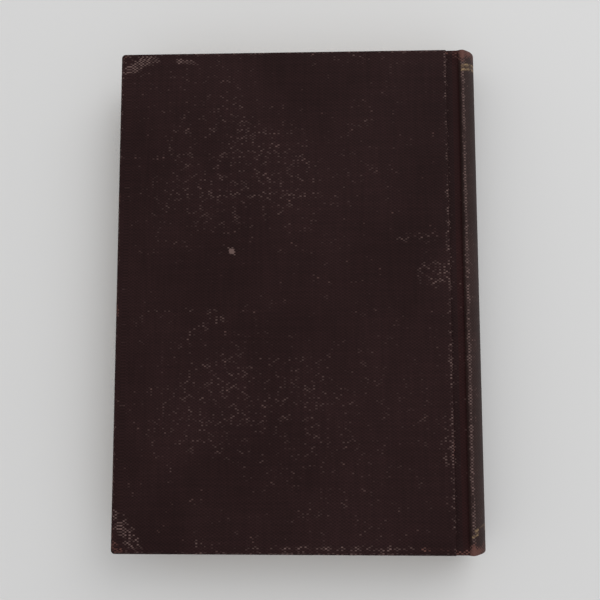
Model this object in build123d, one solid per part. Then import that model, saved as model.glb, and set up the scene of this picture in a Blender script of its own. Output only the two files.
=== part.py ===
from build123d import *
from math import asin, cos, degrees, radians, sin
import os

# A case-bound hardback book that lies on its front cover, with its spine at +X and its head at +Y.
# Millimetres, +Z up. The origin is at the bottom centre of the whole book.

# Overall sizes
cover_height = 197.0        # head to tail of a cover, cloth included
cover_width = 130.8         # fore-edge to joint edge of a cover, cloth included
book_thickness = 24.0       # outer face of one cover to outer face of the other

# Sheets
board = 2.0                 # binder's board
cloth = 0.4                 # covering cloth
mull = cloth                # gauze and its glue, packed out level with the turned-in cloth
paper = 0.2                 # endpapers
lining = 0.2                # paper on the back of the text block
inlay = 0.6                 # card inside the spine cloth

# Covers
turn_in = 15.0              # cloth folded over onto the inner face
corner_round = 1.5          # corners at the fore-edge, seen from above
edge_round = 0.8            # worn outer edges
flap_width = 30.0           # mull glued to a board, from the hinge line inwards
head_square = 3.25          # cover beyond the leaves at head and tail
fore_square = 3.2           # cover beyond the leaves at the fore-edge

# Joint grooves, ridges and spine
groove = 4.3                # hinge line at the board to hinge line at the ridge
foot = 0.25                 # cloth between a board's joint edge and its hinge line
ridge_height = 1.8          # ridge above the floor of the groove
ridge_round = 1.0           # outside radius of the ridge
ridge_foot = 0.4            # radius between the groove's floor and the ridge's flank
ridge_lead = 0.1            # flat cloth between the hinge line and that radius
ridge_slope = 80.0          # flank of the ridge, degrees from the cover
spine_round = 6.4           # crown of the spine beyond the ridges
hollow = 0.8                # open space between inlay and lining
inlay_margin = 2.0          # inlay's edge to the ridge, along the round
shoulder_width = 2.2        # flared end of the text block's back, along the round
lining_margin = 0.6         # lining's edge to that flared end, along the round
fore_hollow = 4.0           # depth of the hollow fore-edge

# Depths below the outer face of a cover
under_board = cloth + board
under_mull = under_board + mull
under_pastedown = under_mull + paper
under_flyleaf = under_pastedown + paper
groove_floor = under_board - cloth

# Heights along Y
leaf_height = cover_height - 2 * head_square
between_turn_ins = cover_height - 2 * turn_in
stiff_height = cover_height - 2 * cloth

# The ridge's flank, and the circle of the spine's round, which the ridges touch from inside
middle = book_thickness / 2
slope = radians(ridge_slope)
flank = (ridge_height - (ridge_foot + ridge_round) * (1 - cos(slope))) / sin(slope)
ridge_run = (ridge_foot + ridge_round) * sin(slope) + flank * cos(slope)
ridge_rise = middle - groove_floor + ridge_height - ridge_round
round_radius = (spine_round ** 2 + ridge_rise ** 2 - ridge_round ** 2) / (2 * (spine_round - ridge_round))
block_radius = round_radius - cloth - inlay - hollow - lining - mull

# Positions along X
book_width = cover_width + foot + groove + ridge_lead + ridge_run + spine_round
fore_edge = -book_width / 2
joint_edge = fore_edge + cover_width
board_hinge = joint_edge + foot
ridge_hinge = board_hinge + groove
ridge_x = ridge_hinge + ridge_lead + ridge_run
round_x = book_width / 2 - round_radius
leaf_edge = fore_edge + fore_square

# Half angles about the middle of the spine's round, in degrees
ridge_angle = degrees(asin(ridge_rise / (round_radius - ridge_round)))
inlay_angle = ridge_angle - degrees(inlay_margin / round_radius)
wrap_angle = inlay_angle + degrees(cloth / round_radius)
block_angle = ridge_angle - degrees(shoulder_width / block_radius)
lining_angle = block_angle - degrees(lining_margin / block_radius)


def layer(x_from, x_to, depth, thickness, height, y=0.0):
    """A flat sheet in the upper half of the book, with its outer face at a depth."""
    place = Location(((x_from + x_to) / 2, y, book_thickness - depth - thickness / 2))
    return place * Box(x_to - x_from, height, thickness)


def at_both_ends(piece):
    return piece + mirror(piece, about=Plane.XZ)


def end_layer(x_from, x_to, depth, thickness, length):
    """A flat sheet at the head, and its twin at the tail."""
    return at_both_ends(layer(x_from, x_to, depth, thickness, length, (cover_height - length) / 2))


def run(face, height, y=0.0):
    """A section, drawn as x and z, run along the book's height."""
    return Location((0, y, 0)) * extrude(Plane.XZ * face, amount=height / 2, both=True)


def end_run(face, length):
    return at_both_ends(run(face, length, (cover_height - length) / 2))


def on_circle(centre, radius, angle):
    """A point at an angle from +X, in degrees."""
    return (centre[0] + radius * cos(radians(angle)), centre[1] + radius * sin(radians(angle)))


def arc(centre, radius, start, end):
    return ThreePointArc(*(on_circle(centre, radius, angle) for angle in (start, (start + end) / 2, end)))


def both_halves(edges):
    """Edges of the upper half, and their mirror images below the middle of the book."""
    return edges + [mirror(edge, about=Plane.XZ.offset(-middle)) for edge in edges]


def ridge_path(depth):
    """From the hinge line up over the upper ridge, at a depth inside the case."""
    floor_z = book_thickness - groove_floor - depth
    start_x = ridge_hinge + ridge_lead
    hollow_centre = (start_x, floor_z + ridge_foot + depth)
    hollow_arc = arc(hollow_centre, ridge_foot + depth, -90, ridge_slope - 90)
    ridge_arc = arc((ridge_x, middle + ridge_rise), ridge_round - depth, ridge_slope + 90, ridge_angle)
    return [
        Line((ridge_hinge, floor_z), (start_x, floor_z)),
        hollow_arc,
        Line(hollow_arc @ 1, ridge_arc @ 0),
        ridge_arc,
    ]


def case_section(depth):
    """What lies inside the case at a depth, from the hinge lines to the crown of the spine."""
    path = ridge_path(depth)
    start = path[0] @ 0
    half = path + [Line(start, (start.X, middle))]
    crown = arc((round_x, middle), round_radius - depth, -ridge_angle, ridge_angle)
    return make_face(both_halves(half) + [crown])


def band(inner, outer, angle):
    """A strip between two radii of the spine's round, as far as an angle each side of its crown."""
    centre = (round_x, middle)
    inner_arc = arc(centre, inner, -angle, angle)
    outer_arc = arc(centre, outer, -angle, angle)
    ends = [Line(inner_arc @ 0, outer_arc @ 0), Line(inner_arc @ 1, outer_arc @ 1)]
    return make_face([inner_arc, outer_arc] + ends)


def block_section():
    """The gathered leaves: hollow fore-edge, flat sides, shoulders and rounded back."""
    side_z = book_thickness - under_flyleaf
    shoulder = ridge_path(cloth + mull)
    step = shoulder[0] @ 0
    back = arc((round_x, middle), block_radius, -block_angle, block_angle)
    half = [
        Line((leaf_edge, side_z), (ridge_hinge, side_z)),
        Line((ridge_hinge, side_z), step),
        *shoulder,
        Line(shoulder[-1] @ 1, back @ 1),
    ]
    fore = ThreePointArc((leaf_edge, under_flyleaf), (leaf_edge + fore_hollow, middle), (leaf_edge, side_z))
    return make_face(both_halves(half) + [back, fore])


def spine_side():
    """Everything on the spine's side of the hinge lines, as a section to cut with."""
    depth = book_width / 2 - ridge_hinge
    return Location((ridge_hinge + depth / 2, middle)) * Rectangle(depth, book_thickness)


def make_text_block():
    return run(block_section(), leaf_height)


def make_spine_mull():
    leaves = block_section()
    around = offset(leaves, mull, kind=Kind.ARC) - leaves
    return run(around & spine_side() & case_section(cloth), between_turn_ins)


def make_spine_lining():
    inner = block_radius + mull
    return run(band(inner, inner + lining, lining_angle), between_turn_ins)


def inlay_band():
    outer = round_radius - cloth
    return band(outer - inlay, outer, inlay_angle)


def make_spine_inlay():
    return run(inlay_band(), stiff_height)


def make_spine_cloth():
    """The cloth over spine and ridges, turned in over the ends of the inlay at head and tail."""
    outside = case_section(0) - case_section(cloth)
    pocket = band(round_radius - 2 * cloth - inlay, round_radius - cloth, wrap_angle)
    folded = (case_section(cloth) - case_section(2 * cloth)) + pocket - inlay_band()
    return run(outside, cover_height) + end_run(folded, turn_in) + end_run(inlay_band(), cloth)


def make_flyleaf():
    return layer(leaf_edge, ridge_hinge, under_pastedown, paper, leaf_height)


def make_hinge_cloth():
    outside = layer(board_hinge, ridge_hinge, groove_floor, cloth, cover_height)
    return outside + end_layer(board_hinge, ridge_hinge, under_board, cloth, turn_in)


def make_hinge_mull():
    return layer(board_hinge, ridge_hinge, under_board, mull, between_turn_ins)


def make_hinge_paper():
    return layer(board_hinge, ridge_hinge, under_mull, paper, leaf_height)


def rounded_slab(margin, depth, thickness):
    """A board or covered board: fore-edge corners rounded, then the outer edges."""
    slab = layer(fore_edge + margin, joint_edge - margin, depth, thickness, cover_height - 2 * margin)
    corners = slab.edges().filter_by(Axis.Z).sort_by(Axis.X)[:2]
    slab = fillet(corners, corner_round - margin)
    outer_face = slab.faces().sort_by(Axis.Z)[-1]
    return fillet(outer_face.edges(), edge_round - margin)


def make_board():
    return rounded_slab(cloth, cloth, board)


def make_cover_cloth():
    """The cloth over a board, turned in at head, tail and fore-edge, with the foot of the joint."""
    slab = rounded_slab(0, 0, under_mull)
    window = layer(fore_edge + turn_in, joint_edge, under_board, cloth, between_turn_ins)
    joint_foot = layer(joint_edge, board_hinge, groove_floor, cloth, cover_height)
    folded_foot = end_layer(joint_edge, board_hinge, under_board, cloth, turn_in)
    return slab - make_board() - window + joint_foot + folded_foot


def make_mull_flap():
    return layer(board_hinge - flap_width, board_hinge, under_board, mull, between_turn_ins)


def make_pastedown():
    """The endpaper on the board, pressed down inside the turned-in cloth and the mull."""
    inside_from = fore_edge + turn_in
    inside_to = board_hinge - flap_width
    sheet = layer(leaf_edge, board_hinge, under_mull, paper, leaf_height)
    tray = layer(inside_from, inside_to, under_board, mull + paper, between_turn_ins)
    pressed = layer(inside_from + paper, inside_to - paper, under_board + paper, mull,
                    between_turn_ins - 2 * paper)
    return sheet + tray - pressed


nodes = {
    "text_block": make_text_block(),
    "spine_mull": make_spine_mull(),
    "spine_lining": make_spine_lining(),
    "spine_inlay": make_spine_inlay(),
    "spine_cloth": make_spine_cloth(),
}

cover_pieces = {
    "flyleaf": make_flyleaf(),
    "hinge_cloth": make_hinge_cloth(),
    "hinge_mull": make_hinge_mull(),
    "hinge_paper": make_hinge_paper(),
    "board": make_board(),
    "cover_cloth": make_cover_cloth(),
    "mull_flap": make_mull_flap(),
    "pastedown": make_pastedown(),
}

# The back cover lies uppermost, and the front cover is its mirror image below
for name, piece in cover_pieces.items():
    nodes["back_" + name] = piece
    nodes["front_" + name] = mirror(piece, about=Plane.XY.offset(middle))

os.makedirs("parts", exist_ok=True)
for name, piece in nodes.items():
    export_step(piece, f"parts/{name}.step")

print(f"book {book_width:.2f} x {cover_height:.2f} x {book_thickness:.2f}")
print(f"hinge lines x {board_hinge:.3f} and {ridge_hinge:.3f}, z {book_thickness - groove_floor:.3f}")
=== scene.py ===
import bpy, bmesh, math
from mathutils import Euler, Matrix, Vector, noise


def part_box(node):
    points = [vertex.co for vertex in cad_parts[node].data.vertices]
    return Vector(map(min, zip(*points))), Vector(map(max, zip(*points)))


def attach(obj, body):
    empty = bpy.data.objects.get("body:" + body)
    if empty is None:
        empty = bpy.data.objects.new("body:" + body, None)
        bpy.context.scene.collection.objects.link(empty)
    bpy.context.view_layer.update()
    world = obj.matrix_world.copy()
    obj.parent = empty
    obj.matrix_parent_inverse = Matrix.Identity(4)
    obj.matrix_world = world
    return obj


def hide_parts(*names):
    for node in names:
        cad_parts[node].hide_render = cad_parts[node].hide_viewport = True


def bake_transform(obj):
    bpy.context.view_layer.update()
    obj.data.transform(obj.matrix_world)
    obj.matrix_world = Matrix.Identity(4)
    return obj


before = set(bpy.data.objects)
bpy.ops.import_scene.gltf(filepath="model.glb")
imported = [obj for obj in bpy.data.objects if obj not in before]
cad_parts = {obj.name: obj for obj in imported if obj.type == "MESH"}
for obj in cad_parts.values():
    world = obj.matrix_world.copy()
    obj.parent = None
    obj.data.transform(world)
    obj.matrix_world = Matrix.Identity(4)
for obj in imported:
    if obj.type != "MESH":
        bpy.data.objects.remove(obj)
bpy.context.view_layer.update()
print("frame loaded")

mm = 0.001

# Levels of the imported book. The front half mirrors the back half about midZ.
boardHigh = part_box("back_board")[1]
coverLow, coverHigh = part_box("back_cover_cloth")
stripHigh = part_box("back_hinge_cloth")[1]
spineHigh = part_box("spine_cloth")[1]
blockLow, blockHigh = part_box("text_block")
flyleafLow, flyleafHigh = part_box("back_flyleaf")
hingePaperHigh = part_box("back_hinge_paper")[1]
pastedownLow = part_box("back_pastedown")[0]
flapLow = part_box("back_mull_flap")[0]
midZ = (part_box("front_cover_cloth")[0].z + coverHigh.z) / 2
halfHeight = coverHigh.y
clothThick = coverHigh.z - boardHigh.z
foreEdge = coverLow.x
jointEdge = boardHigh.x + clothThick
boardHinge = coverHigh.x
ridgeHinge = stripHigh.x
seamX = (boardHinge + ridgeHinge) / 2
coverTop = coverHigh.z
grooveTop = stripHigh.z
turnInLow = coverLow.z
foldThick = grooveTop - turnInLow
crease = 0.25 * mm              # cloth and paper bend this far each side of a hinge line
creaseCell = 0.05 * mm

cover = {
    "edgeRound": 0.8 * mm,      # worn outer edges of the board
    "foldRound": 0.45 * mm,     # cloth folded round the board's inner edge
    "cornerRound": 1.5 * mm,
    "turnIn": 15 * mm,
    "margin": 3 * mm,           # rings of faces follow the outline this far in
    "mitreReach": 25 * mm,
    "lean": 0.12 * mm,          # slope of the cloth down the joint edge
    "cell": 1.2 * mm,
    "ringCell": 0.6 * mm,
    "underCell": 2 * mm,
    "swell": 0.09 * mm,         # slow unevenness of the back cover's face
    "jointFill": 1.1 * mm,      # worn cloth rides up at both ends of the joint
    "jointFillFrom": 6 * mm,
    "jointFillTo": 0.8 * mm,
}

spine = {
    "ridgeRound": 1.0 * mm,
    "ridgeFoot": 0.4 * mm,
    "ridgeLead": 0.1 * mm,
    "ridgeSlope": 80,
    "softFoot": 1.0 * mm,       # worn cloth rounds the foot of the ridge more gently
    "softSlope": 62,
    "inlay": 0.6 * mm,
    "inlayAngle": 45.2,
    "capRound": 0.55 * mm,
    "capLip": 0.8 * mm,         # the head of the spine stands out at its crown
    "capLipRun": 12 * mm,
    "skin": 0.38 * mm,          # one thickness of cloth, a hair less than the fold allows
    "cell": 1.2 * mm,
}


def spaced(start, end, step):
    count = max(1, round(abs(end - start) / step))
    return [start + (end - start) * index / count for index in range(count + 1)]


def smooth(low, high, value):
    share = min(1, max(0, (value - low) / (high - low)))
    return share * share * (3 - 2 * share)


def arcPoints(centre, radius, start, end, count):
    turns = [math.radians(start + (end - start) * index / count) for index in range(count + 1)]
    return [(centre[0] + radius * math.cos(turn), centre[1] + radius * math.sin(turn)) for turn in turns]


# Length along a line of points, at each of them
def runLength(points):
    lengths = [0]
    for first, second in zip(points, points[1:]):
        lengths.append(lengths[-1] + math.dist(first, second))
    return lengths


def finishPiece(name, mesh, sharp):
    solid = bmesh.new()
    solid.from_mesh(mesh)
    inward = solid.calc_volume(signed=True) < 0
    solid.free()
    if inward:
        mesh.flip_normals()
    mesh.shade_smooth()
    mesh.set_sharp_from_angle(angle=math.radians(sharp))
    piece = bpy.data.objects.new(name, mesh)
    bpy.context.scene.collection.objects.link(piece)
    return piece


# A closed shell from a skin of faces: outer and inner hold the same corners, a thickness apart
def makeShell(name, outer, inner, faces, values, flip=False):
    joined = {}
    alias = []
    for index, point in enumerate(outer):
        key = tuple(round(axis * 1e8) for axis in point)
        alias.append(joined.setdefault(key, index))
    clean = []
    for face in faces:
        corners = []
        for corner in (alias[index] for index in face):
            if corner not in corners:
                corners.append(corner)
        if len(corners) > 2:
            clean.append(tuple(corners))
    sides = {(a, b) for face in clean for a, b in zip(face, face[1:] + face[:1])}
    used = sorted({corner for face in clean for corner in face})
    place = {corner: index for index, corner in enumerate(used)}
    count = len(used)
    solid = [tuple(place[corner] for corner in face) for face in clean]
    solid += [tuple(place[corner] + count for corner in reversed(face)) for face in clean]
    for a, b in sorted(sides):
        if (b, a) not in sides:
            solid.append((place[b], place[a], place[a] + count, place[b] + count))
    points = [outer[corner] for corner in used] + [inner[corner] for corner in used]
    if flip:
        points = [(x, y, 2 * midZ - z) for x, y, z in points]
        solid = [tuple(reversed(face)) for face in solid]
    mesh = bpy.data.meshes.new(name)
    mesh.from_pydata(points, [], solid)
    for label, numbers in values.items():
        layer = mesh.attributes.new(label, "FLOAT", "POINT")
        layer.data.foreach_set("value", [numbers[corner] for corner in used] * 2)
    if "sheetU" in values:
        layer = mesh.uv_layers.new(name="sheet")
        corner = {index: (values["sheetU"][c], values["sheetV"][c]) for index, c in enumerate(used)}
        for loop in mesh.loops:
            layer.data[loop.index].uv = corner[loop.vertex_index % count]
        mesh.attributes.remove(mesh.attributes["sheetU"])
        mesh.attributes.remove(mesh.attributes["sheetV"])
    return finishPiece(name, mesh, 50)


def clothValues(wear, us, vs):
    rub, bare = zip(*wear)
    return {"rub": rub, "bare": bare, "sheetU": us, "sheetV": vs}


def gridFaces(rows, columns, start=0):
    faces = []
    for row in range(rows - 1):
        for column in range(columns - 1):
            corner = start + row * columns + column
            faces.append((corner, corner + 1, corner + columns + 1, corner + columns))
    return faces


# Cloth over the boards

# From the middle of the groove up the board's joint edge and across its face, at a depth in the cloth
def boardPath(depth):
    top, foot = cover["edgeRound"], boardHinge - jointEdge
    floor = [seamX, boardHinge + 0.7 * foldThick, *spaced(boardHinge + crease, boardHinge, creaseCell)]
    points = [(x, grooveTop - depth) for x in floor]
    points += arcPoints((jointEdge + foot, grooveTop + foot), foot + depth, 270, 180, 6)[1:]
    points += arcPoints((jointEdge - top, coverTop - top), top - depth, 0, 90, 6)
    leaning = []
    for x, z in points:
        share = smooth(grooveTop, coverTop, z)
        leaning.append((x - cover["lean"] * share, z))
    across = spaced(jointEdge - top - cover["lean"], foreEdge + cover["cornerRound"], cover["cell"])[1:]
    return leaning + [(x, coverTop - depth) for x in across]


# Inset from the outline, and height, of the cloth round an edge of the board
def edgeProfile(top, depth, underside):
    thick = top - turnInLow
    upper, lower = min(cover["edgeRound"], thick / 2), min(cover["foldRound"], thick / 2)
    inset = spaced(cover["margin"], upper, cover["ringCell"])[:-1]
    points = [(x, top - depth) for x in inset]
    points += [(upper - z, top - upper + x) for z, x in
               arcPoints((0, 0), upper - depth, 90, 0, 5)]
    points += [(lower - z, turnInLow + lower + x) for z, x in
               arcPoints((0, 0), max(lower - depth, 0.02 * mm), 0, -90, 5)]
    points += [(x, turnInLow + depth) for x in underside]
    return points


def alongEdge(distance, inset):
    reach, corner = cover["mitreReach"], cover["cornerRound"]
    if distance >= reach or inset <= corner:
        return distance
    return inset + (distance - corner) * (reach - inset) / (reach - corner)


def outlineSamples(path):
    corner = cover["cornerRound"]
    ys = spaced(-halfHeight + corner, halfHeight - corner, cover["cell"])
    samples = [("end", -1, index) for index in range(len(path))]
    samples += [("corner", -1, 270 - 15 * step) for step in range(1, 6)]
    samples += [("fore", y, None) for y in ys]
    samples += [("corner", 1, 180 - 15 * step) for step in range(1, 6)]
    samples += [("end", 1, index) for index in reversed(range(len(path)))]
    return samples, ys


def outlinePoint(sample, path, inset):
    kind, side, value = sample
    corner = cover["cornerRound"]
    if kind == "end":
        x = foreEdge + alongEdge(path[value][0] - foreEdge, inset)
        return x, side * (halfHeight - inset)
    if kind == "fore":
        away = alongEdge(halfHeight - abs(side), inset)
        return foreEdge + inset, math.copysign(halfHeight - away, side)
    if inset >= corner:
        return foreEdge + inset, side * (halfHeight - inset)
    turn = math.radians(value)
    radius = corner - inset
    return (foreEdge + corner + radius * math.cos(turn),
            side * (halfHeight - corner) + radius * math.sin(turn))


# How far the floor of the joint has risen at a height, for cloth that lies at z
def jointLift(y, z):
    low = 1 - smooth(grooveTop, coverTop - 0.2 * mm, z)
    start, end = halfHeight - cover["jointFillFrom"], halfHeight - cover["jointFillTo"]
    return low * cover["jointFill"] * smooth(start, end, abs(y))


def swellAt(x, y):
    inside = min(x - foreEdge, jointEdge - x, halfHeight - abs(y))
    wave = noise.noise(Vector((x * 28, y * 20, 3.1))) + 0.5 * noise.noise(Vector((x * 80, y * 70, 9.7)))
    return cover["swell"] * (0.5 + 0.5 * wave) * smooth(0, 4 * mm, inside)


# A band of rings round three edges and under the board, then the face inside that band
def makeBoardCloth(name, flip, wearAt):
    swell = 0 if flip else 1
    margin = cover["margin"]
    underside = spaced(cover["foldRound"], cover["turnIn"], cover["underCell"])[1:]
    outerPath, innerPath = boardPath(0), boardPath(clothThick)
    samples, ys = outlineSamples(outerPath)
    run = runLength(outerPath)
    outer, inner, us, vs, faces = [], [], [], [], []

    for sample in samples:
        kind, side, value = sample
        top = outerPath[value][1] if kind == "end" else coverTop
        low = innerPath[value][1] if kind == "end" else coverTop - clothThick
        profile = edgeProfile(top, 0, underside)
        lining = edgeProfile(top, clothThick, underside)
        beyond = 0
        for step, (inset, z) in enumerate(profile):
            x, y = outlinePoint(sample, outerPath, inset)
            onTop = z > top - 1e-9
            if inset > margin or step and not onTop:
                beyond += math.dist(profile[step - 1], profile[step])
            rise = 0
            if kind == "end" and x > jointEdge - mm:
                rise = smooth(turnInLow + 0.1 * mm, top, z) * jointLift(y, top)
            lift = swell * swellAt(x, y) if z > coverTop - 0.1 * mm else 0
            outer.append((x, y, z + (lift + rise)))
            insetIn, zIn = lining[step]
            if kind == "end" and onTop:
                zIn = low
            xIn, yIn = outlinePoint(sample, innerPath if kind == "end" else outerPath, insetIn)
            inner.append((xIn, yIn, zIn + rise))
            fromEdge = inset if onTop else 0
            if kind == "end":
                us.append(-run[value])
                vs.append(side * (halfHeight + beyond - fromEdge))
            else:
                foreRun = -run[-1] - (outerPath[-1][0] - foreEdge)
                us.append(foreRun - (beyond - fromEdge) if kind == "fore" else foreRun)
                vs.append(y)
    faces += [tuple(reversed(face)) for face in gridFaces(len(samples), len(profile))]

    start = len(outer)
    for index, (x, z) in enumerate(outerPath):
        for y in ys:
            moved = outlinePoint(("end", 1, index), outerPath, margin)[0]
            movedIn = outlinePoint(("end", 1, index), innerPath, margin)[0]
            along = outlinePoint(("fore", y, None), outerPath, margin)[1]
            rise = jointLift(along, z) if x > jointEdge - mm else 0
            lift = swell * swellAt(moved, along) if z > coverTop - 0.1 * mm else rise
            outer.append((moved, along, z + lift))
            inner.append((movedIn, along, innerPath[index][1] + rise))
            us.append(-run[index])
            vs.append(along)
    faces += gridFaces(len(outerPath), len(ys), start)

    wear = [wearAt(x, y, z) for x, y, z in outer]
    return makeShell(name, outer, inner, faces, clothValues(wear, us, vs), flip)


# Wear, as (rubbed, bare) at a corner of the cloth. A mark is in millimetres and degrees:
# across from the fore-edge, down from the head, half length, half width, turn, strength
marks = {
    "scuffs": [
        (7.0, 4.6, 8.0, 2.4, -30, 0.85),
        (12.5, 2.8, 3.0, 1.2, 0, 0.8),
        (25.5, 3.6, 4.4, 1.2, 4, 0.75),
        (78.0, 5.0, 1.3, 0.5, 0, 0.55),
        (98.0, 29.0, 0.9, 0.8, 0, 0.6),
        (45.3, 81.0, 1.5, 1.7, 0, 1.6),
        (45.0, 58.5, 40.0, 1.6, 1, 0.27),
        (30.0, 104.5, 26.0, 0.9, 1, 0.32),
        (35.0, 110.5, 11.0, 2.2, -28, 0.34),
        (118.0, 76.0, 9.0, 2.6, 2, 0.34),
        (124.0, 90.0, 7.0, 6.5, 30, 0.36),
        (128.0, 158.0, 4.0, 7.0, 0, 0.28),
        (49.0, 168.5, 3.0, 0.6, -35, 0.45),
        (22.0, 165.0, 0.8, 0.8, 0, 0.5),
        (32.5, 193.0, 0.5, 2.6, 0, 0.45),
        (35.0, 193.2, 0.5, 2.4, 0, 0.40),
        (68.5, 184.5, 3.0, 0.7, 10, 0.35),
        (5.0, 188.0, 11.0, 3.6, 52, 0.62),
        (95.0, 2.0, 9.0, 0.8, 0, 0.35),
        (92.0, 194.4, 44.0, 0.9, 0, 0.42),
        (55.0, 140.0, 40.0, 30.0, 20, 0.15),
        (40.0, 50.0, 38.0, 30.0, 0, 0.15),
    ],
    "bareSpots": [
        (2.0, 194.8, 3.4, 2.0, 30, 0.9),
        (0.6, 190.0, 0.8, 3.4, 0, 0.7),
        (0.8, 1.2, 1.6, 1.2, 0, 0.7),
        (0.4, 59.0, 0.8, 3.6, 0, 0.6),
        (0.4, 104.0, 0.8, 3.0, 0, 0.8),
        (122.0, 194.6, 8.0, 1.0, 0, 0.5),
    ],
}


def markAmount(spots, x, y):
    total = 0
    across, down = (x - foreEdge) / mm, (halfHeight - y) / mm
    for spotX, spotY, long, wide, turn, strength in spots:
        if abs(across - spotX) > long + wide + 2 or abs(down - spotY) > long + wide + 2:
            continue
        angle = math.radians(turn)
        along = (across - spotX) * math.cos(angle) + (down - spotY) * math.sin(angle)
        side = (down - spotY) * math.cos(angle) - (across - spotX) * math.sin(angle)
        away = math.hypot(along / long, side / wide)
        total = max(total, strength * (1 - smooth(0.55, 1.25, away)))
    return total


def edgeWear(x, y, seed):
    patch = 0.5 + 0.5 * noise.noise(Vector((x * 60, y * 60, seed)))
    beside = min(x - foreEdge, halfHeight - abs(y), abs(x - jointEdge + 0.4 * mm))
    corner = math.hypot(x - foreEdge, halfHeight - abs(y))
    rub = (1 - smooth(0.2 * mm, 1.6 * mm, beside)) * (0.25 + 0.6 * patch)
    rub = max(rub, (1 - smooth(2 * mm, 7 * mm, corner)) * 0.4)
    bare = (1 - smooth(0, 0.9 * mm, beside)) * smooth(0.55, 0.95, patch) * 0.7
    bare = max(bare, (1 - smooth(0.5 * mm, 2 * mm, corner)) * 0.75)
    if x > jointEdge - 0.5 * mm:
        bare = max(bare, 0.75 * (1 - smooth(0.5 * mm, 4 * mm, halfHeight - abs(y))))
        rub *= 0.5
    return rub, bare


def backWear(x, y, z):
    rub, bare = edgeWear(x, y, 4.0)
    if z > coverTop - 0.6 * mm:
        rub = max(rub, markAmount(marks["scuffs"], x, y))
        bare = max(bare, markAmount(marks["bareSpots"], x, y))
    if z < turnInLow + 0.1 * mm:
        rub, bare = 0.3 * rub, 0.3 * bare
    return rub, bare


def frontWear(x, y, z):
    rub, bare = edgeWear(x, y, 11.0)
    if z > coverTop - 0.6 * mm:
        broad = noise.noise(Vector((x * 45, y * 45, 2.0)))
        rub = max(rub, 0.35 * smooth(0.1, 0.6, broad))
    return rub, bare


boardCloth = {
    "back": makeBoardCloth("back_board_cloth", False, backWear),
    "front": makeBoardCloth("front_board_cloth", True, frontWear),
}
print("cloth over the boards")

# Cloth in the joints and over the spine: each corner of a section is a place and its outward side

slope = math.radians(spine["ridgeSlope"])
bendRound = spine["ridgeFoot"] + spine["ridgeRound"]
ridgeHeight = spineHigh.z - grooveTop
flank = (ridgeHeight - bendRound * (1 - math.cos(slope))) / math.sin(slope)
ridgeX = ridgeHinge + spine["ridgeLead"] + bendRound * math.sin(slope) + flank * math.cos(slope)
ridgeZ = spineHigh.z - spine["ridgeRound"]
crown = spineHigh.x - ridgeX
chord = crown ** 2 + (ridgeZ - midZ) ** 2 - spine["ridgeRound"] ** 2
roundRadius = chord / (2 * (crown - spine["ridgeRound"]))
roundX = spineHigh.x - roundRadius
ridgeAngle = math.degrees(math.asin((ridgeZ - midZ) / (roundRadius - spine["ridgeRound"])))


def arcOutline(centre, radius, start, end, count, hollow=False):
    points = arcPoints(centre, radius, start, end, count)
    side = -1 if hollow else 1
    return [(x, z, side * (x - centre[0]) / radius, side * (z - centre[1]) / radius) for x, z in points]


def jointOutline():
    soft = math.radians(spine["softSlope"])
    bend = spine["softFoot"] + spine["ridgeRound"]
    rise = (ridgeHeight - bend * (1 - math.cos(soft))) / math.sin(soft)
    lead = ridgeX - bend * math.sin(soft) - rise * math.cos(soft)
    floor = spaced(seamX, lead, 0.3 * mm)[:-1]
    outline = [(x, grooveTop, 0, 1) for x in floor]
    centre = (lead, grooveTop + spine["softFoot"])
    return outline + arcOutline(centre, spine["softFoot"], 270, 270 + spine["softSlope"], 20, True)


def spineOutline():
    ridge = arcOutline((ridgeX, ridgeZ), spine["ridgeRound"], 90 + spine["softSlope"], ridgeAngle, 12)
    half = arcOutline((roundX, midZ), roundRadius, ridgeAngle, 0, 16)[1:]
    upper = [jointOutline()[-1]] + ridge + half
    return upper + [(x, 2 * midZ - z, nx, -nz) for x, z, nx, nz in reversed(upper[:-1])]


# Thickness of the cloth folded over itself, and over the card inside the spine
def foldAt(x, z):
    if x <= ridgeX:
        return foldThick
    angle = abs(math.degrees(math.atan2(z - midZ, x - roundX)))
    past = smooth(spine["inlayAngle"] - 0.5, spine["inlayAngle"] + 2, angle)
    return foldThick + spine["inlay"] * (1 - past)


# One end of the folded cloth: (height, outer depth, inner height, inner depth, run along the cloth)
def endRings(thick):
    skin, turn = spine["skin"], min(thick / 2, spine["capRound"])
    edge = halfHeight - turn
    rings = []
    for step in range(9):
        angle = math.pi * step / 8
        outerY = edge + turn * math.sin(angle)
        innerY = edge + max(turn - skin, 0) * math.sin(angle)
        outerDepth = thick / 2 * (1 - math.cos(angle))
        innerDepth = thick / 2 - (thick / 2 - skin) * math.cos(angle)
        rings.append((outerY, outerDepth, innerY, innerDepth, edge + turn * angle))
    for y in spaced(edge, halfHeight - cover["turnIn"], cover["underCell"])[1:]:
        rings.append((y, thick, y, thick - skin, edge + turn * math.pi + edge - y))
    return rings


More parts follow.
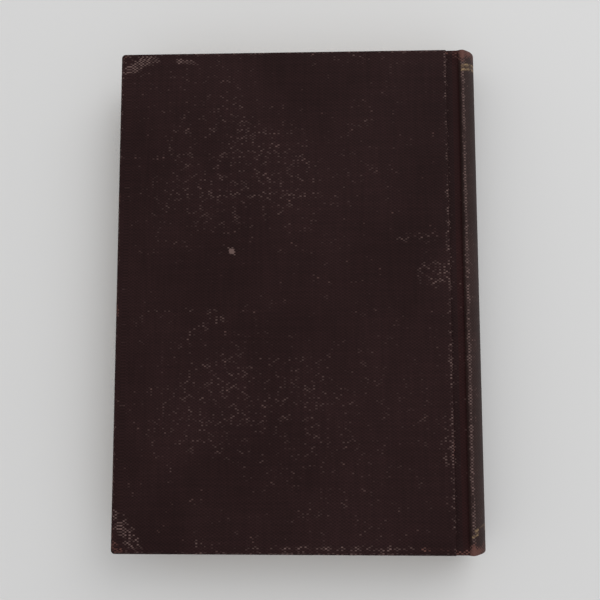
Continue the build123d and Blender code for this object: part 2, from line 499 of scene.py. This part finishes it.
def makeFoldedCloth(name, outline, startU, flip, wearAt):
    straight = halfHeight - spine["capRound"]
    middle = spaced(-straight, straight, spine["cell"])[1:-1]
    run = runLength([corner[:2] for corner in outline])
    outer, inner, us, vs, wear = [], [], [], [], []
    for index, (x, z, nx, nz) in enumerate(outline):
        ends = endRings(foldAt(x, z))
        rings = [(-a, b, -c, d, -e) for a, b, c, d, e in reversed(ends)]
        rings += [(y, 0, y, spine["skin"], y) for y in middle]
        rings += ends
        for outerY, outerDepth, innerY, innerDepth, v in rings:
            lip = spine["capLip"] * smooth(ridgeX, roundX + roundRadius, x)
            lip *= smooth(halfHeight - spine["capLipRun"], halfHeight, outerY)
            lift = jointLift(outerY, z) if x < ridgeX - 0.3 * mm and nx < 0.01 else 0
            lift *= 1 - smooth(0, foldThick, outerDepth)
            outer.append((x - outerDepth * nx, outerY + lip, z - outerDepth * nz + lift))
            inner.append((x - innerDepth * nx, innerY + lip, z - innerDepth * nz + lift))
            us.append(startU + run[index])
            vs.append(v)
            wear.append(wearAt(x, outerY, z, nx, outerDepth))
    faces = gridFaces(len(outline), len(rings))
    return makeShell(name, outer, inner, faces, clothValues(wear, us, vs), flip)


def spineWear(x, y, z, nx, depth):
    patch = 0.5 + 0.5 * noise.noise(Vector((z * 30, y * 55, 6.5)))
    fine = 0.5 + 0.5 * noise.noise(Vector((x * 200, y * 260, z * 200)))
    fromPeak = math.hypot(x - ridgeX - 0.1 * mm, abs(z - midZ) - spineHigh.z + midZ)
    ridge = 1 - smooth(0.15 * mm, 1.3 * mm, fromPeak)
    cap = 1 - smooth(1.5 * mm, 5.5 * mm, halfHeight - abs(y))
    rub = ridge * (0.56 + 0.30 * patch) + 0.10 * patch * (x > ridgeX) + 0.4 * cap
    bare = ridge * smooth(0.55, 0.95, patch) * 0.35 + cap * (0.8 + 0.7 * fine)
    bare += ridge * 0.8 * (1 - smooth(3 * mm, 7 * mm, halfHeight - abs(y)))
    return (rub, bare) if depth < 1e-6 or cap > 0.5 else (0.3 * rub, 0.5 * bare)


def jointWear(x, y, z, nx, depth):
    cap = 1 - smooth(0.5 * mm, 4.5 * mm, halfHeight - abs(y))
    flank = smooth(ridgeHinge, ridgeX, x)
    return 0.35 * cap + 0.2 * flank, cap * (0.75 + 0.45 * flank)


jointRun = runLength([corner[:2] for corner in jointOutline()])[-1]
spineCloth = makeFoldedCloth("spine_covering", spineOutline(), jointRun, False, spineWear)
jointCloth = {
    "back": makeFoldedCloth("back_joint_cloth", jointOutline(), 0, False, jointWear),
    "front": makeFoldedCloth("front_joint_cloth", jointOutline(), 0, True, jointWear),
}
print("cloth in the joints and over the spine")

# Endpapers: one folded sheet a side, half pasted to the board and half free
endpaper = {
    "paper": 0.16 * mm,
    "cell": 2 * mm,
    "press": 0.5 * mm,          # slope of the paste-down over the edge of the turned-in cloth
    "clear": 0.01 * mm,
}


def linesWith(start, end, step, extras):
    lines = set(round(value, 7) for value in spaced(start, end, step))
    lines.update(round(value, 7) for value in extras if min(start, end) < value < max(start, end))
    return sorted(lines)


def trayDepth(x, y):
    inside = min(x - foreEdge - cover["turnIn"], flapLow.x - x, halfHeight - cover["turnIn"] - abs(y))
    return clothThick * smooth(0, endpaper["press"], inside)


def makePasteDown(name, flip):
    edge = halfHeight - cover["turnIn"]
    slopes = [share * endpaper["press"] for share in (0, 0.33, 0.66, 1)]
    windowX = [foreEdge + cover["turnIn"] + step for step in slopes]
    windowX += [flapLow.x - step for step in slopes]
    windowY = [side * (edge - step) for step in slopes for side in (-1, 1)]
    hingeX = spaced(boardHinge - crease, boardHinge + crease, creaseCell)
    xs = linesWith(flyleafLow.x, seamX, endpaper["cell"], windowX + hingeX)
    ys = linesWith(flyleafLow.y, flyleafHigh.y, endpaper["cell"], windowY)
    outer, inner = [], []
    for x in xs:
        for y in ys:
            z = pastedownLow.z + trayDepth(x, y) + endpaper["clear"]
            inner.append((x, y, z))
            outer.append((x, y, z + endpaper["paper"]))
    faces = [tuple(reversed(face)) for face in gridFaces(len(xs), len(ys))]
    return makeShell(name, outer, inner, faces, {}, flip)


def makeFreeLeaf(name, flip):
    low, high = flyleafLow.z, hingePaperHigh.z
    turn = (high - low) / 2
    xs = linesWith(flyleafLow.x, ridgeHinge - turn, endpaper["cell"], [])[:-1]
    outline = [(x, low, 0, -1) for x in xs]
    outline += arcOutline((ridgeHinge - turn, low + turn), turn, 270, 450, 12)
    outline += [((ridgeHinge - turn) * 0.5 + seamX * 0.5, high, 0, 1), (seamX, high, 0, 1)]
    ys = spaced(flyleafLow.y, flyleafHigh.y, endpaper["cell"])
    outer, inner = [], []
    for x, z, nx, nz in outline:
        for y in ys:
            outer.append((x, y, z))
            inner.append((x - endpaper["paper"] * nx, y, z - endpaper["paper"] * nz))
    return makeShell(name, outer, inner, gridFaces(len(outline), len(ys)), {}, flip)


pasteDown = {side: makePasteDown(side + "_paste_down", side == "front") for side in ("back", "front")}
freeLeaf = {side: makeFreeLeaf(side + "_free_endpaper", side == "front") for side in ("back", "front")}
print("endpapers")

# Leaves: Geometry Nodes push each leaf and each gathering in or out by its own amount
leaves = {
    "count": 80,
    "gathering": 8,             # leaves between two deeper grooves
    "gap": 0.10,                # groove between two leaves, as a share of a leaf at each side
    "hollow": 4.0 * mm,
    "halfThick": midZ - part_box("front_flyleaf")[1].z,
    "backRadius": 12.1 * mm,
    "backAngle": 42.7,
    "shoulderAngle": 84,
    "fanned": 0.72,             # share of the leaves that stay within the round of the back
    "fanStart": 3.2 * mm,
    "fanBend": 2.0 * mm,
    "pull": 0.42,               # how far a leaf keeps straight before it bends to the back
    "tipX": 0.12 * mm,
    "uneven": 0.16 * mm,
    "gatheringUneven": 0.20 * mm,
    "seed": 5,
}


# The edge of one leaf, from the hollow fore-edge to the back, for a share from -1 to 1 of the thickness
def leafPath(share, steps):
    half, hollow, radius = leaves["halfThick"], leaves["hollow"], leaves["backRadius"]
    foreRadius = (half ** 2 + hollow ** 2) / (2 * hollow)
    startX = blockLow.x + hollow - foreRadius + math.sqrt(foreRadius ** 2 - (share * half) ** 2)
    side = math.copysign(1, share)
    turn = math.radians(leaves["backAngle"])
    arcEnd = Vector((roundX + radius * math.cos(turn), midZ + side * radius * math.sin(turn)))
    tip = Vector((ridgeX + leaves["tipX"], midZ + side * (ridgeZ - midZ + 0.15 * mm)))
    if abs(share) <= leaves["fanned"]:
        turn *= share / leaves["fanned"]
        end = Vector((roundX + radius * math.cos(turn), midZ + radius * math.sin(turn)))
        aim = Vector((math.cos(turn), math.sin(turn)))
    else:
        part = (abs(share) - leaves["fanned"]) / (1 - leaves["fanned"])
        end = arcEnd.lerp(tip, part)
        turn = math.radians(leaves["backAngle"] + part * (leaves["shoulderAngle"] - leaves["backAngle"]))
        aim = Vector((math.cos(turn), side * math.sin(turn)))
    startFan = ridgeHinge - leaves["fanStart"] + leaves["fanBend"] * abs(share) ** 3
    start = Vector((startFan, midZ + share * half))
    pull = (end - start).length * leaves["pull"]
    points = [Vector((x, start.y)) for x in spaced(startX, start.x, (start.x - startX) / 26)]
    for step in range(1, steps + 1):
        t = step / steps
        curve = start * (1 - t) ** 3 + (start + Vector((pull * 1.2, 0))) * 3 * t * (1 - t) ** 2
        curve += (end - aim * pull * 0.8) * 3 * t * t * (1 - t) + end * t ** 3
        points.append(curve)
    return points


def leafRows():
    rows = []
    for leaf in range(leaves["count"]):
        low, high = leaf / leaves["count"], (leaf + 1) / leaves["count"]
        gap = leaves["gap"] / leaves["count"]
        for share in (low + gap, high - gap):
            rows.append((leaf, 2 * share - 1))
    rows[0] = (0, -1)
    rows[-1] = (leaves["count"] - 1, 1)
    return rows


# Each leaf's outline, ring after ring through the thickness, with what each corner lies on
def leafBelt():
    foreYs = spaced(blockHigh.y, blockLow.y, 2.5 * mm)[1:-1]
    backYs = spaced(blockLow.y, blockHigh.y, 24 * mm)[1:-1]
    points, ids, page, head, tail, fore = [], [], [], [], [], []
    loop = 0
    for leaf, share in leafRows():
        path = leafPath(share, 10)
        ring = [(point.x, blockHigh.y, point.y, 1, 0, 0) for point in reversed(path)]
        ring[-1] = ring[-1][:3] + (1, 0, 1)
        ring += [(path[0].x, y, path[0].y, 0, 0, 1) for y in foreYs]
        ring += [(point.x, blockLow.y, point.y, 0, 1, 0) for point in path]
        ring[len(path) + len(foreYs)] = (path[0].x, blockLow.y, path[0].y, 0, 1, 1)
        ring += [(path[-1].x, y, path[-1].y, 0, 0, 0) for y in backYs]
        loop = len(ring)
        for x, y, z, isHead, isTail, isFore in ring:
            points.append((x, y, z))
            ids.append(leaf)
            page.append((share + 1) / 2 * leaves["count"])
            head.append(isHead)
            tail.append(isTail)
            fore.append(isFore)
    rows = len(points) // loop
    faces = []
    for row in range(rows - 1):
        for step in range(loop):
            a, b = row * loop + step, row * loop + (step + 1) % loop
            faces.append((a, b, b + loop, a + loop))
    count = len(path)
    for row, turned in ((0, False), (rows - 1, True)):
        base = row * loop
        tailStart = base + count + len(foreYs)
        flat = []
        for step in range(count - 2):
            far = tailStart + count - 1 - step
            flat.append((base + step, base + step + 1, far - 1, far))
        flat.append(tuple(base + step for step in range(count - 2, count + len(foreYs) + 2)))
        backRun = range(tailStart + count, base + loop)
        flat.append((base, tailStart + count - 1) + tuple(backRun))
        faces += [tuple(reversed(face)) if turned else face for face in flat]
    values = {"leaf": ids, "page": page, "headSide": head, "tailSide": tail, "foreSide": fore}
    return points, faces, values


def leafTree(material):
    tree = bpy.data.node_groups.new("leafEdges", "GeometryNodeTree")
    sockets = {}
    tree.interface.new_socket("Geometry", in_out="INPUT", socket_type="NodeSocketGeometry")
    for label, kind, value in (
        ("Leaf Unevenness", "NodeSocketFloat", leaves["uneven"]),
        ("Gathering Unevenness", "NodeSocketFloat", leaves["gatheringUneven"]),
        ("Leaves In Gathering", "NodeSocketInt", leaves["gathering"]),
        ("Seed", "NodeSocketInt", leaves["seed"]),
    ):
        socket = tree.interface.new_socket(label, in_out="INPUT", socket_type=kind)
        sockets[label] = (socket.identifier, value)
    tree.interface.new_socket("Geometry", in_out="OUTPUT", socket_type="NodeSocketGeometry")
    start, end = tree.nodes.new("NodeGroupInput"), tree.nodes.new("NodeGroupOutput")

    def named(label, kind="FLOAT"):
        node = tree.nodes.new("GeometryNodeInputNamedAttribute")
        node.data_type = kind
        node.inputs["Name"].default_value = label
        return node.outputs["Attribute"]

    leaf = named("leaf", "INT")
    gathering = sums(tree, "FLOOR", sums(tree, "DIVIDE", leaf, start.outputs["Leaves In Gathering"]))

    def push(side, change):
        parts = []
        sources = ((leaf, "Leaf Unevenness", 0), (gathering, "Gathering Unevenness", 40))
        for source, label, offset in sources:
            chance = tree.nodes.new("FunctionNodeRandomValue")
            chance.data_type = "FLOAT"
            tree.links.new(source, chance.inputs["ID"])
            seed = sums(tree, "ADD", start.outputs["Seed"], change + offset)
            tree.links.new(seed, chance.inputs["Seed"])
            parts.append(sums(tree, "MULTIPLY", chance.outputs[1], start.outputs[label]))
        return sums(tree, "MULTIPLY", named(side), sums(tree, "ADD", *parts))

    across = sums(tree, "MULTIPLY", push("foreSide", 1), -1)
    along = sums(tree, "SUBTRACT", push("headSide", 2), push("tailSide", 3))
    offset = tree.nodes.new("ShaderNodeCombineXYZ")
    tree.links.new(across, offset.inputs["X"])
    tree.links.new(along, offset.inputs["Y"])
    move = tree.nodes.new("GeometryNodeSetPosition")
    tree.links.new(start.outputs["Geometry"], move.inputs["Geometry"])
    tree.links.new(offset.outputs[0], move.inputs["Offset"])
    real = tree.nodes.new("GeometryNodeRealizeInstances")
    finish = tree.nodes.new("GeometryNodeSetMaterial")
    finish.inputs["Material"].default_value = material
    tree.links.new(move.outputs[0], real.inputs[0])
    tree.links.new(real.outputs[0], finish.inputs["Geometry"])
    tree.links.new(finish.outputs[0], end.inputs["Geometry"])
    return tree, sockets


def makeLeaves(material):
    points, faces, values = leafBelt()
    mesh = bpy.data.meshes.new("leafBase")
    mesh.from_pydata(points, [], faces)
    for label, numbers in values.items():
        layer = mesh.attributes.new(label, "INT" if label == "leaf" else "FLOAT", "POINT")
        layer.data.foreach_set("value", numbers)
    base = bpy.data.objects.new("leafBase", mesh)
    bpy.context.scene.collection.objects.link(base)
    tree, sockets = leafTree(material)
    modifier = base.modifiers.new("leafEdges", "NODES")
    modifier.node_group = tree
    for identifier, value in sockets.values():
        modifier[identifier] = value
    bpy.context.view_layer.update()
    ready = base.evaluated_get(bpy.context.evaluated_depsgraph_get())
    result = bpy.data.meshes.new_from_object(ready)
    base.modifiers.remove(modifier)
    bpy.data.objects.remove(base)
    result.name = "leaves"
    return finishPiece("leaves", result, 30)


# Finishes: effects that several materials share are node groups


def addNode(tree, kind, inputs=None, **values):
    node = tree.nodes.new("ShaderNode" + kind)
    for key, value in values.items():
        setattr(node, key, value)
    for key, value in (inputs or {}).items():
        if isinstance(value, bpy.types.NodeSocket):
            tree.links.new(value, node.inputs[key])
        else:
            node.inputs[key].default_value = value
    return node


def sums(tree, operation, *values):
    inputs = dict(enumerate(values))
    return addNode(tree, "Math", inputs, operation=operation).outputs[0]


def vectors(tree, operation, inputs):
    return addNode(tree, "VectorMath", inputs, operation=operation).outputs[0]


def ramp(tree, value, low, high, start=0.0, end=1.0):
    inputs = {"Value": value, "From Min": low, "From Max": high, "To Min": start, "To Max": end}
    node = addNode(tree, "MapRange", inputs, interpolation_type="SMOOTHSTEP")
    return node.outputs["Result"]


def blendColour(tree, share, first, second, mode="MIX"):
    inputs = {0: share, 6: first, 7: second}
    return addNode(tree, "Mix", inputs, data_type="RGBA", blend_type=mode).outputs[2]


def noiseAt(tree, place, scale, detail=2.0, stretch=None):
    if stretch:
        place = addNode(tree, "Mapping", {"Vector": place, "Scale": stretch}).outputs[0]
    return addNode(tree, "TexNoise", {"Vector": place, "Scale": scale, "Detail": detail}).outputs["Fac"]


def makeGroup(name, inputs, outputs):
    group = bpy.data.node_groups.new(name, "ShaderNodeTree")
    for label, kind, value in inputs:
        socket = group.interface.new_socket(label, in_out="INPUT", socket_type="NodeSocket" + kind)
        socket.default_value = value
    for label, kind in outputs:
        group.interface.new_socket(label, in_out="OUTPUT", socket_type="NodeSocket" + kind)
    return group, group.nodes.new("NodeGroupInput").outputs, group.nodes.new("NodeGroupOutput").inputs


# Plain weave on the sheet's own map: raised knuckles in a checker, with uneven threads
def makeWeave():
    group, given, result = makeGroup(
        "plainWeave",
        [
            ("Knuckle Across", "Float", 0.86 * mm),
            ("Knuckle Along", "Float", 0.58 * mm),
            ("Unevenness", "Float", 0.22 * mm),
        ],
        [("Height", "Float"), ("Slub", "Float"), ("Chance", "Float")],
    )
    sheet = addNode(group, "UVMap", uv_map="sheet").outputs[0]
    wander = addNode(group, "TexNoise", {"Vector": sheet, "Scale": 330.0, "Detail": 1.0}).outputs["Color"]
    centred = vectors(group, "SUBTRACT", {0: wander, 1: (0.5, 0.5, 0.5)})
    shift = vectors(group, "SCALE", {0: centred, "Scale": given["Unevenness"]})
    moved = vectors(group, "ADD", {0: sheet, 1: shift})
    split = addNode(group, "SeparateXYZ", {0: moved}).outputs
    waves, cells = [], []
    for axis, size in ((0, "Knuckle Across"), (1, "Knuckle Along")):
        turns = sums(group, "DIVIDE", split[axis], given[size])
        waves.append(sums(group, "SINE", sums(group, "MULTIPLY", turns, math.pi)))
        cells.append(sums(group, "FLOOR", turns))
    cell = addNode(group, "CombineXYZ", {0: cells[0], 1: cells[1]}).outputs[0]
    chance = addNode(group, "TexWhiteNoise", {"Vector": cell}).outputs["Value"]
    group.links.new(chance, result["Chance"])
    checker = sums(group, "MULTIPLY", *waves)
    height = ramp(group, checker, -0.75, 0.75)
    slubs = []
    for stretch in ((40, 900, 1), (700, 50, 1)):
        slubs.append(noiseAt(group, sheet, 1.0, 1.0, stretch))
    slub = sums(group, "MULTIPLY", sums(group, "ADD", *slubs), 0.5)
    height = sums(group, "MULTIPLY", height, ramp(group, slub, 0.3, 0.7, 0.75, 1.15))
    group.links.new(height, result["Height"])
    group.links.new(slub, result["Slub"])
    return group


# Where rubbing has whitened or bared the high points of a surface
def makeRubbing():
    group, given, result = makeGroup(
        "rubbing",
        [
            ("Amount", "Float", 0.0),
            ("Height", "Float", 0.5),
            ("Chance", "Float", 0.5),
            ("Softness", "Float", 0.18),
        ],
        [("Mask", "Float")],
    )
    place = addNode(group, "TexCoord").outputs["Object"]
    broad = noiseAt(group, place, 260.0, 2.0)
    level = sums(group, "MULTIPLY", sums(group, "ADD", given["Chance"], broad), 0.62)
    bar = sums(group, "SUBTRACT", 0.98, sums(group, "MULTIPLY", given["Amount"], 0.80))
    limit = sums(group, "ADD", bar, given["Softness"])
    edges = {"Value": level, "From Min": bar, "From Max": limit}
    mask = addNode(group, "MapRange", edges).outputs["Result"]
    top = ramp(group, given["Height"], 0.35, 0.75)
    worn = sums(group, "MAXIMUM", top, ramp(group, given["Amount"], 0.95, 1.35))
    group.links.new(sums(group, "MULTIPLY", mask, worn), result["Mask"])
    return group


# Slow patches of fading and fine fibre, for cloth, paper and card
def makeAging():
    group, given, result = makeGroup(
        "aging",
        [
            ("Patch Scale", "Float", 30.0),
            ("Fibre Scale", "Float", 2500.0),
            ("Stretch", "Vector", (1, 1, 1)),
        ],
        [("Patches", "Float"), ("Fibre", "Float"), ("Specks", "Float")],
    )
    place = addNode(group, "TexCoord").outputs["Object"]
    drawn = vectors(group, "MULTIPLY", {0: place, 1: given["Stretch"]})
    patch = noiseAt(group, place, given["Patch Scale"], 4.0)
    fibre = noiseAt(group, drawn, given["Fibre Scale"], 1.0)
    speck = noiseAt(group, place, 520.0, 1.0)
    group.links.new(ramp(group, patch, 0.3, 0.7), result["Patches"])
    group.links.new(fibre, result["Fibre"])
    group.links.new(ramp(group, speck, 0.70, 0.78), result["Specks"])
    return group


weave, rubbing, aging = makeWeave(), makeRubbing(), makeAging()

clothLook = {
    "board": [(0.0135, 0.0052, 0.0053, 1), (0.0180, 0.0074, 0.0076, 1)],    # colour and faded colour
    # the spine's colour is lighter than the board's: partly fading, and partly painted light for the
    # extra light and grey reflection on the spine's round
    "spine": [(0.0185, 0.0088, 0.0080, 1), (0.0260, 0.0130, 0.0118, 1)],
    "joint": [(0.0160, 0.0052, 0.0053, 1), (0.0210, 0.0068, 0.0068, 1)],
    "between": 0.78,            # painted shade: how dark the colour is made in the hollows between the threads
    "rubbed": (0.145, 0.094, 0.086, 1),
    "bare": (0.100, 0.042, 0.034, 1),
    "relief": 0.07 * mm,
}

# Gilding: each line's middle from the head, its half width, in millimetres, and how much is left
gilding = {
    "gold": (0.240, 0.165, 0.098, 1),
    "tarnished": (0.088, 0.056, 0.034, 1),
    "reach": 0.2 * mm,          # how far the tool pressed past the top of a ridge
    "slant": 0.34,              # the rules run off square across the spine
    "softEdge": 0.12,
    "rules": [
        (6.5, 0.26, 0.80),
        (8.4, 0.30, 1.00),
        (188.3, 0.30, 0.45),
        (190.0, 0.30, 0.35),
    ],
    "bands": [(7.6, 1.5, 0.9), (189.0, 1.4, 0.45)],
}

paperLook = {
    "leafColour": (0.56, 0.43, 0.27, 1),
    "leafShade": (0.30, 0.20, 0.11, 1),
    "endpaper": (0.60, 0.49, 0.34, 1),
    "endpaperShade": (0.42, 0.31, 0.18, 1),
    "card": (0.24, 0.19, 0.13, 1),
    "gauze": (0.45, 0.38, 0.28, 1),
}


def newMaterial(name, roughness, specular):
    material = bpy.data.materials.new(name)
    material.use_nodes = True
    shader = material.node_tree.nodes["Principled BSDF"].inputs
    shader["Roughness"].default_value = roughness
    shader["Specular IOR Level"].default_value = specular
    return material, material.node_tree, shader


def giltMask(tree, height, lines):
    place = addNode(tree, "TexCoord").outputs["Object"]
    split = addNode(tree, "SeparateXYZ", {0: place}).outputs
    skew = sums(tree, "MULTIPLY", sums(tree, "SUBTRACT", split[0], ridgeX), gilding["slant"])
    y = sums(tree, "SUBTRACT", split[1], skew)
    worn = noiseAt(tree, place, 420.0, 3.0)
    total = None
    for fromHead, half, left in lines:
        away = sums(tree, "ABSOLUTE", sums(tree, "SUBTRACT", y, halfHeight - fromHead * mm))
        line = ramp(tree, away, half * mm, (half + gilding["softEdge"]) * mm, 1.0, 0.0)
        kept = sums(tree, "MULTIPLY", line, ramp(tree, worn, 0.62 - 0.35 * left, 0.80 - 0.35 * left))
        total = kept if total is None else sums(tree, "MAXIMUM", total, kept)
    edge = ridgeX - gilding["reach"]
    total = sums(tree, "MULTIPLY", total, ramp(tree, split[0], edge - 0.5 * mm, edge))
    return sums(tree, "MULTIPLY", total, ramp(tree, height, 0.0, 0.35, 0.35, 1.0))


def clothMaterial(name, part, specular, gilt=False):
    material, tree, shader = newMaterial(name, 0.7, specular)
    threads = addNode(tree, "Group", node_tree=weave).outputs
    age = addNode(tree, "Group", node_tree=aging).outputs
    colour = blendColour(tree, age["Patches"], *clothLook[part])
    # painted shade and light: the colour darkens in the hollows between the threads and brightens on
    # their tops; the slub and fibre factors after it are the cloth's own uneven tone
    shade = ramp(tree, threads["Height"], 0.0, 0.8, clothLook["between"], 1.15)
    shade = sums(tree, "MULTIPLY", shade, ramp(tree, threads["Slub"], 0.3, 0.7, 0.92, 1.1))
    shade = sums(tree, "MULTIPLY", shade, ramp(tree, age["Fibre"], 0.2, 0.8, 0.85, 1.15))
    tone = addNode(tree, "CombineColor", {0: shade, 1: shade, 2: shade}).outputs[0]
    colour = blendColour(tree, 1.0, colour, tone, "MULTIPLY")
    masks = []
    for layer, soft in (("rub", 0.42), ("bare", 0.30)):
        amount = addNode(tree, "Attribute", attribute_name=layer).outputs["Fac"]
        if layer == "rub":
            amount = sums(tree, "ADD", amount, sums(tree, "MULTIPLY", age["Patches"], 0.16))
        inputs = {label: threads[label] for label in ("Height", "Chance")}
        inputs.update({"Amount": amount, "Softness": soft})
        masks.append(addNode(tree, "Group", inputs, node_tree=rubbing).outputs["Mask"])
    colour = blendColour(tree, sums(tree, "MULTIPLY", masks[0], 0.75), colour, clothLook["rubbed"])
    colour = blendColour(tree, sums(tree, "MULTIPLY", masks[1], 0.85), colour, clothLook["bare"])
    height = threads["Height"]
    if gilt:
        band = giltMask(tree, threads["Height"], gilding["bands"])
        colour = blendColour(tree, sums(tree, "MULTIPLY", band, 0.8), colour, gilding["tarnished"])
        gold = giltMask(tree, threads["Height"], gilding["rules"])
        colour = blendColour(tree, gold, colour, gilding["gold"])
        tree.links.new(sums(tree, "MULTIPLY", gold, 0.8), shader["Metallic"])
        pressed = sums(tree, "SUBTRACT", 1.0, sums(tree, "MULTIPLY", gold, 0.6))
        height = sums(tree, "MULTIPLY", height, pressed)
    tree.links.new(colour, shader["Base Color"])
    rough = sums(tree, "ADD", 0.62, sums(tree, "MULTIPLY", masks[0], 0.15))
    tree.links.new(rough, shader["Roughness"])
    lifted = sums(tree, "ADD", height, sums(tree, "MULTIPLY", age["Fibre"], 0.35))
    bump = addNode(tree, "Bump", {"Height": lifted, "Distance": clothLook["relief"]})
    tree.links.new(bump.outputs[0], shader["Normal"])
    return material


def paperMaterial(name, colour, shadeColour, stretch, fibre, patch):
    material, tree, shader = newMaterial(name, 0.85, 0.2)
    inputs = {"Stretch": stretch, "Fibre Scale": fibre, "Patch Scale": patch}
    age = addNode(tree, "Group", inputs, node_tree=aging)
    mixed = blendColour(tree, sums(tree, "MULTIPLY", age.outputs["Patches"], 0.45), colour, shadeColour)
    shade = ramp(tree, age.outputs["Fibre"], 0.25, 0.75, 0.86, 1.08)
    tone = addNode(tree, "CombineColor", {0: shade, 1: shade, 2: shade}).outputs[0]
    mixed = blendColour(tree, 1.0, mixed, tone, "MULTIPLY")
    mixed = blendColour(tree, sums(tree, "MULTIPLY", age.outputs["Specks"], 0.5), mixed, shadeColour)
    tree.links.new(mixed, shader["Base Color"])
    bump = addNode(tree, "Bump", {"Height": age.outputs["Fibre"], "Distance": 0.02 * mm})
    tree.links.new(bump.outputs[0], shader["Normal"])
    return material


def leafMaterial():
    material, tree, shader = newMaterial("leafEdges", 0.85, 0.2)
    page = addNode(tree, "Attribute", attribute_name="page").outputs["Fac"]
    place = addNode(tree, "TexCoord").outputs["Object"]
    split = addNode(tree, "SeparateXYZ", {0: place}).outputs
    along = sums(tree, "MULTIPLY", sums(tree, "ADD", split[0], split[1]), 30.0)
    at = addNode(tree, "CombineXYZ", {0: sums(tree, "MULTIPLY", page, 2.3), 1: along}).outputs[0]
    line = addNode(tree, "TexNoise", {"Vector": at, "Scale": 1.0, "Detail": 3.0}).outputs["Fac"]
    age = addNode(tree, "Group", node_tree=aging).outputs
    dark = paperLook["leafShade"]
    colour = blendColour(tree, ramp(tree, line, 0.3, 0.72), dark, paperLook["leafColour"])
    colour = blendColour(tree, sums(tree, "MULTIPLY", age["Patches"], 0.35), colour, dark)
    colour = blendColour(tree, sums(tree, "MULTIPLY", age["Specks"], 0.5), colour, dark)
    tree.links.new(colour, shader["Base Color"])
    bump = addNode(tree, "Bump", {"Height": line, "Distance": 0.08 * mm})
    tree.links.new(bump.outputs[0], shader["Normal"])
    return material


finishes = {
    "board cloth": clothMaterial("boardCloth", "board", 0.06),
    "joint cloth": clothMaterial("jointCloth", "joint", 0.06),
    "spine cloth": clothMaterial("spineCloth", "spine", 0.11, True),
    "leaf": leafMaterial(),
}
for finish, name, colour, shade, stretch, fibre, patch in (
    ("endpaper", "endpaper", "endpaper", "endpaperShade", (1, 1, 1), 1800, 25),
    ("lining", "liningPaper", "endpaper", "leafShade", (1, 1, 1), 1500, 60),
    ("card", "spineCard", "card", "leafShade", (1, 1, 1), 1200, 90),
    ("board", "binderBoard", "card", "leafShade", (1, 1, 6), 900, 60),
    ("gauze", "gauze", "gauze", "leafShade", (1, 1, 1), 1000, 200),
):
    look = (paperLook[colour], paperLook[shade])
    finishes[finish] = paperMaterial(name, *look, stretch, fibre, patch)
print("finishes")

leafBlock = makeLeaves(finishes["leaf"])
print("leaves")

# The leaves and the spine covering go on the book block's body; each piece takes its finish and stands
# for its imported node


def dress(piece, finish, slot, *nodes):
    piece.data.materials.clear()
    piece.data.materials.append(finishes[finish])
    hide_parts(*nodes)


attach(leafBlock, "book_block")
dress(leafBlock, "leaf", "leaves", "text_block")
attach(spineCloth, "book_block")
dress(spineCloth, "spine cloth", "cover_cloth", "spine_cloth")
for side in ("back", "front"):
    levels = [grooveTop, flyleafLow.z + endpaper["paper"], hingePaperHigh.z - endpaper["paper"]]
    if side == "front":
        levels = [2 * midZ - value for value in levels]
    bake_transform(boardCloth[side])
    dress(boardCloth[side], "board cloth", "cover_cloth", side + "_cover_cloth")
    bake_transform(pasteDown[side])
    dress(pasteDown[side], "endpaper", "endpaper", side + "_pastedown")
    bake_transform(jointCloth[side])
    dress(jointCloth[side], "joint cloth", "cover_cloth", side + "_hinge_cloth")
    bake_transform(freeLeaf[side])
    dress(freeLeaf[side], "endpaper", "endpaper", side + "_flyleaf", side + "_hinge_paper")

plainFinish = {
    "spine_mull": "gauze",
    "spine_lining": "lining",
    "spine_inlay": "card",
    "board": "board",
    "hinge_mull": "gauze",
    "mull_flap": "gauze",
}
for name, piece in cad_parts.items():
    finish = plainFinish.get(name.replace("back_", "").replace("front_", ""))
    if finish:
        for materialSlot in piece.material_slots:
            materialSlot.material = finishes[finish]

# Table, light and camera

view = {
    "lens": 46.9,
    "sensor": 36,
    "turn": (-5.99, -1.90, 0.29),
    "shift": (-6.7, 1.9, -304.2),
}

studio = {
    "table": (0.60, 0.60, 0.60, 1),
    "tableHalf": 3,
    "sky": 0.84,
    "lampPower": 10.5,
    "lampSize": 1.2,
    "lampPlace": (0.70, 0.85, 1.1),
}


def addCamera():
    turn = Euler([math.radians(angle) for angle in view["turn"]], "XYZ").to_matrix().transposed()
    boardMiddle = Vector(((foreEdge + jointEdge) / 2, 0, coverTop))
    place = boardMiddle - turn @ Vector([value * mm for value in view["shift"]])
    camera = bpy.data.objects.new("camera", bpy.data.cameras.new("camera"))
    camera.data.lens = view["lens"]
    camera.data.sensor_width = view["sensor"]
    camera.data.clip_start = 0.01
    camera.matrix_world = Matrix.Translation(place) @ turn.to_4x4()
    bpy.context.scene.collection.objects.link(camera)
    bpy.context.scene.camera = camera


def addTable():
    mesh = bpy.data.meshes.new("table")
    half = studio["tableHalf"]
    corners = [(-half, -half, 0), (half, -half, 0), (half, half, 0), (-half, half, 0)]
    mesh.from_pydata(corners, [], [(0, 1, 2, 3)])
    table = bpy.data.objects.new("table", mesh)
    bpy.context.scene.collection.objects.link(table)
    material, _, shader = newMaterial("paleTable", 0.9, 0.2)
    shader["Base Color"].default_value = studio["table"]
    mesh.materials.append(material)


def addLamp(name, place, aim, size, power):
    lamp = bpy.data.lights.new(name, "AREA")
    lamp.size = size
    lamp.energy = power
    light = bpy.data.objects.new(name, lamp)
    facing = (Vector(aim) - Vector(place)).to_track_quat("-Z", "Y").to_matrix().to_4x4()
    light.matrix_world = Matrix.Translation(place) @ facing
    bpy.context.scene.collection.objects.link(light)


addCamera()
addTable()
addLamp("headLamp", studio["lampPlace"], (0, 0, 0), studio["lampSize"], studio["lampPower"])
world = bpy.context.scene.world or bpy.data.worlds.new("world")
bpy.context.scene.world = world
world.use_nodes = True
world.node_tree.nodes["Background"].inputs["Color"].default_value = (1, 1, 1, 1)
world.node_tree.nodes["Background"].inputs["Strength"].default_value = studio["sky"]
bpy.context.scene.view_settings.view_transform = "Standard"
print("table, light and camera")
